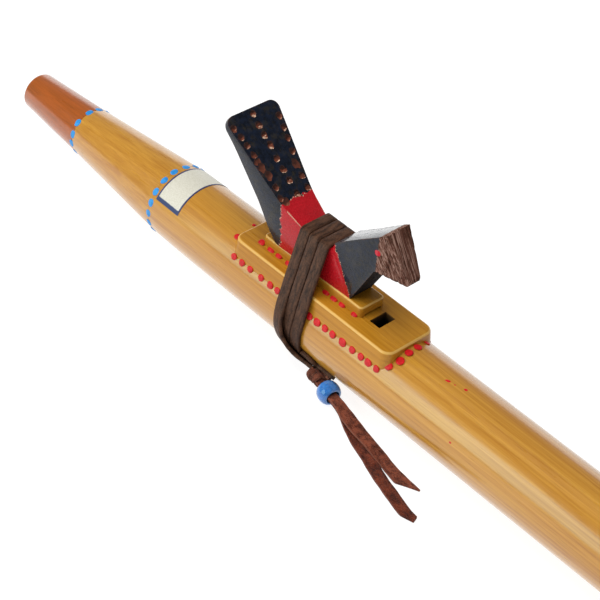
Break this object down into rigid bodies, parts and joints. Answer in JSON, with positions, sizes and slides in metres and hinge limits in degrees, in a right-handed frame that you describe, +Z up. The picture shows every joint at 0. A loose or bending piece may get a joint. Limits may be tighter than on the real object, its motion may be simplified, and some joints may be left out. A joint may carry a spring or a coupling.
{
  "type": "native american flute",
  "caption": "Two-chambered wooden flute with a raised nest, flue plate and carved bird tied down by leather lace, with a bead on the lace's tails.",
  "frame": {"origin": "middle of the flute's length, under its axis, on the surface that it lies on", "axes": "+X from the blowing end to the foot along the bore, +Z up through the nest and the bird, -Y towards the knot and the bead"},
  "size_m": [0.6, 0.0551, 0.0832],
  "materials": {
    "mouthpiece_wood": "satin lacquer, reddish brown",
    "body_wood": "satin lacquer, honey tan, fine straight grain",
    "plug_wood": "bare wood",
    "nest_wood": "satin lacquer, amber",
    "bird_wood": "blue-black and red paint, beak left as carved brown wood",
    "strap_leather": "smooth dark brown lace with lighter cut edges",
    "tail_leather": "napped reddish brown side of the lace",
    "bead_gloss": "glossy blue",
    "label_paper": "plain cream paper, unprinted"
  },
  "bodies": {
    "body": {"mouthpiece": "mouthpiece_wood", "head_cone": "body_wood", "body_tube": "body_wood", "bore_plug": "plug_wood", "nest_block": "nest_wood", "flue_plate": "nest_wood", "paper_label": "label_paper"},
    "bird_and_lace": {"bird": "bird_wood", "lace_winding": "strap_leather", "lace_knot": "tail_leather", "lace_tail_long": "tail_leather", "lace_tail_short": "tail_leather"},
    "bead_body": {"bead": "bead_gloss"}
  },
  "joints": [
    {"name": "bird_slide", "type": "slide", "parent": "body", "child": "bird_and_lace", "axis": [1, 0, 0], "range_m": [-0.004, 0.004]},
    {"name": "bead_slide", "type": "slide", "parent": "bird_and_lace", "child": "bead_body", "axis": [0.9816, -0.1908, 0], "range_m": [0, 0.004]}
  ]
}
